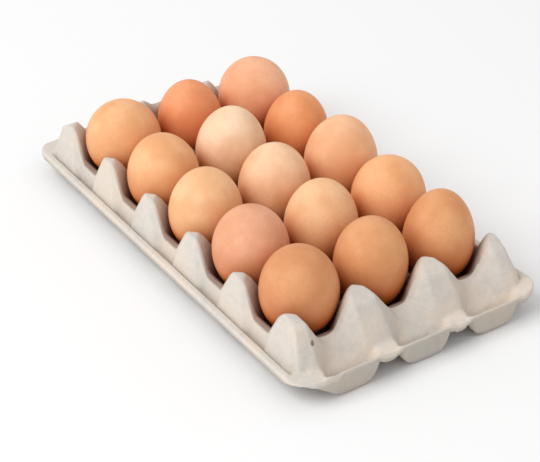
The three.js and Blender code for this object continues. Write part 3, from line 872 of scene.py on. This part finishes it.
def upper_sheet(trees):
    """Grid of points on the upper surface, and how many times PULP the sheet may measure upright there."""
    x_lines = mirrored_lines(GRID_X, RIM_X, INNER_STEP_X, FLANGE_STEP_X)
    y_lines = mirrored_lines(GRID_Y, RIM_Y, INNER_STEP_Y, FLANGE_STEP_Y)
    x, y = np.meshgrid(x_lines, y_lines, indexing="ij")
    z = tray_height(x, y)
    rim_x, rim_y = rounded_corner(x, y)
    points = smoothed(np.stack([*leaned_post(rim_x, rim_y, z), z], axis=2), smoothing_share(x, y, z))
    points = points + unevenness(points)
    lift = ramp(LIFT_START[0], RIM_X, points[..., 0]) * ramp(LIFT_START[1], RIM_Y, points[..., 1])
    points[..., 2] += CORNER_LIFT * lift
    border_share = 1 - RIM_BULGE / RIM_X
    for border in (points[0], points[-1], points[1:-1, 0], points[1:-1, -1]):
        border[:, :2] *= border_share
    on_lip = (np.abs(y) >= GRID_Y + LIP_INNER_START) | (np.abs(x) >= RIM_X - FLANGE_STEP_X)
    return pressed_under_eggs(points, trees), np.where(on_lip, RIM_FACTOR, STEEPEST_FACTOR)


def corner_skirt(points):
    """Underside of the near corner, which comes down in a slope to the first half cup."""
    x, y = points[..., 0], points[..., 1]
    slope = SKIRT_LOW + SKIRT_SLOPE * np.maximum(0, SKIRT_START - y)
    away_x = SKIRT_INNER_SLOPE * np.maximum(0, SKIRT_INNER - x)
    away_y = SKIRT_SIDE_SLOPE * np.maximum(0, y - SKIRT_START)
    return slope + (away_x + away_y)


def drawn_in(points, level):
    """Draws the near corner in below a crease that slants from its rim (level 0) to its foot (level 1)."""
    crease = CREASE_TOP + (CREASE_FOOT - CREASE_TOP) * level
    beside = np.maximum(0, crease - points[..., 1]) * level
    moved = points.copy()
    moved[..., 0] -= CREASE_DRAW * beside * ramp(CREASE_INNER, RIM_X, points[..., 0])
    return moved


def pocket_shade(points, trees):
    """How far each point lies in the narrow dark space between the eggs and the cups."""
    nearest = np.full(points.shape[:2], POCKET_FAR, dtype=float)
    inside_x = np.abs(points[..., 0]) < GRID_X + POCKET_MARGIN
    inside_y = np.abs(points[..., 1]) < GRID_Y + POCKET_MARGIN
    inside = inside_x & inside_y
    for centre, reach, tree in trees:
        plan = np.hypot(points[..., 0] - centre[0], points[..., 1] - centre[1])
        for i, j in np.argwhere(inside & (plan < reach + POCKET_FAR)):
            nearest[i, j] = min(nearest[i, j], tree.find_nearest(Vector(points[i, j]))[3])
    low = 1 - ramp(POCKET_LOW, POCKET_HIGH, points[..., 2])
    return (1 - ramp(POCKET_NEAR, POCKET_FAR, nearest)) * np.maximum(POCKET_SHADE_NEAR_EGGS, low)


def border_indices(rows, columns):
    """Indices of a grid's border in order, anticlockwise from the first corner."""
    index = np.arange(rows * columns).reshape(rows, columns)
    return np.concatenate([index[:-1, 0], index[-1, :-1], index[:0:-1, -1], index[0, :0:-1]])


def lower_sheet(upper, limit):
    """Grid of points on the underside, straight below the upper ones but for the near corner."""
    normal_z = np.maximum(grid_normals(upper)[..., 2], STEEPEST_NORMAL_Z)
    thickness = PULP * np.minimum(limit, 1 / normal_z)
    below = np.minimum(upper[..., 2] - thickness, corner_skirt(upper))
    past_middle = np.abs(upper[..., 0]) > GRID_X + HALF_CUP_MIDDLE
    half_cup_ends = past_middle & (np.abs(upper[..., 1]) < GRID_Y)
    levelled = np.where(half_cup_ends, below, evened(below))
    lower = upper.copy()
    lower[..., 2] = np.maximum(0, np.minimum(levelled, upper[..., 2] - THINNEST_SHARE * thickness))
    return drawn_in(lower, 1)


def groove_shade(upper):
    """How far each point lies in the groove of a long side."""
    from_groove = np.abs(np.abs(upper[..., 1]) - GRID_Y - GROOVE_SHADE_MIDDLE)
    across = 1 - ramp(GROOVE_SHADE_FULL, GROOVE_SHADE_REACH, from_groove)
    return across * (1 - ramp(GROOVE_AT_POST, SHELF_Z, upper[..., 2]))


def rim_wall(top, bottom):
    """Rows of points down the rim's slightly rounded wall, between the borders, with a shade for each."""
    along = np.roll(top, -1, axis=0) - np.roll(top, 1, axis=0)
    outward = np.stack([along[:, 1], -along[:, 0], np.zeros(len(top))], axis=1)
    outward /= np.linalg.norm(outward, axis=1, keepdims=True)
    for ring in range(RIM_RINGS):
        share = (ring + 1) / (RIM_RINGS + 1)
        middle = np.concatenate([top[:, :2], top[:, 2:] + (bottom - top)[:, 2:] * share], axis=1)
        bulged = middle + outward * RIM_BULGE * math.sin(math.pi * share)
        yield drawn_in(bulged, share), ramp(RIM_SHADE_START, RIM_SHADE_FULL, share)


def make_tray(trees):
    """The sheet as one closed mesh: upper surface, underside and the rim's wall between their borders."""
    upper, limit = upper_sheet(trees)
    lower = lower_sheet(upper, limit)
    rows, columns, _ = upper.shape
    count = rows * columns
    index = np.arange(count).reshape(rows, columns)
    corners = [index[:-1, :-1], index[1:, :-1], index[1:, 1:], index[:-1, 1:]]
    quads = np.stack(corners, axis=2).reshape(-1, 4)
    faces = quads.tolist() + (quads[:, [0, 3, 2, 1]] + count).tolist()

    border = border_indices(rows, columns)
    vertices = [upper.reshape(-1, 3), lower.reshape(-1, 3)]
    under = [groove_shade(upper).ravel(), np.ones(count)]
    rings = [border]
    for points, shade in rim_wall(vertices[0][border], vertices[1][border]):
        first = sum(len(part) for part in vertices)
        vertices.append(points)
        under.append(np.full(len(border), float(shade)))
        rings.append(first + np.arange(len(border)))
    rings.append(border + count)
    for above, below in zip(rings, rings[1:]):
        strip = np.stack([above, below, np.roll(below, -1), np.roll(above, -1)], axis=1)
        faces += strip.tolist()

    vertices = np.vstack(vertices)
    piece = new_piece("tray_sheet", vertices, faces, pulp_material())
    pockets = np.zeros(len(vertices))
    pockets[:count] = pocket_shade(upper, trees).ravel()
    add_shade(piece, "pocket", pockets)
    add_shade(piece, "under", np.concatenate(under))
    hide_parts("tray")
    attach(piece, "root")


# Stage


def direction(azimuth, elevation):
    """Unit vector from the object towards a place at that azimuth and elevation."""
    turn, rise = math.radians(azimuth), math.radians(elevation)
    return Vector((math.sin(turn) * math.cos(rise), -math.cos(turn) * math.cos(rise), math.sin(rise)))


def make_camera():
    back = direction(CAMERA_AZIMUTH, CAMERA_ELEVATION)
    turn = math.radians(CAMERA_AZIMUTH)
    right = Vector((math.cos(turn), math.sin(turn), 0))
    rotation = Matrix((right, back.cross(right), back)).transposed().to_4x4()
    place = (Vector(CAMERA_TARGET) + back * CAMERA_DISTANCE) * MM
    data = bpy.data.cameras.new("camera")
    data.sensor_fit = "HORIZONTAL"
    data.sensor_width = SENSOR_WIDTH
    data.lens = LENS
    camera = bpy.data.objects.new("camera", data)
    camera.matrix_world = Matrix.Translation(place) @ rotation
    bpy.context.scene.collection.objects.link(camera)
    bpy.context.scene.camera = camera


def use_plain_colours():
    """Shows the colours as they are, without the softening of a film look."""
    bpy.context.scene.view_settings.view_transform = "Standard"


def make_key_light():
    away = direction(KEY_AZIMUTH, KEY_ELEVATION)
    data = bpy.data.lights.new("key", "AREA")
    data.shape = "SQUARE"
    data.size = KEY_SIZE
    data.energy = KEY_POWER
    light = bpy.data.objects.new("key", data)
    light.location = away * KEY_DISTANCE
    light.rotation_euler = away.to_track_quat("Z", "Y").to_euler()
    bpy.context.scene.collection.objects.link(light)


def make_world():
    world = bpy.data.worlds.new("studio")
    world.use_nodes = True
    background = world.node_tree.nodes["Background"]
    background.inputs["Color"].default_value = (1, 1, 1, 1)
    background.inputs["Strength"].default_value = WORLD_STRENGTH
    bpy.context.scene.world = world


def make_floor():
    half = FLOOR_SIZE / 2 / MM
    corners = [(-half, -half, 0), (half, -half, 0), (half, half, 0), (-half, half, 0)]
    floor = new_piece("floor", corners, [(0, 1, 2, 3)], plain_material("floor", FLOOR_COLOUR))


make_camera()
use_plain_colours()
make_key_light()
make_world()
make_floor()
make_tray(make_eggs())
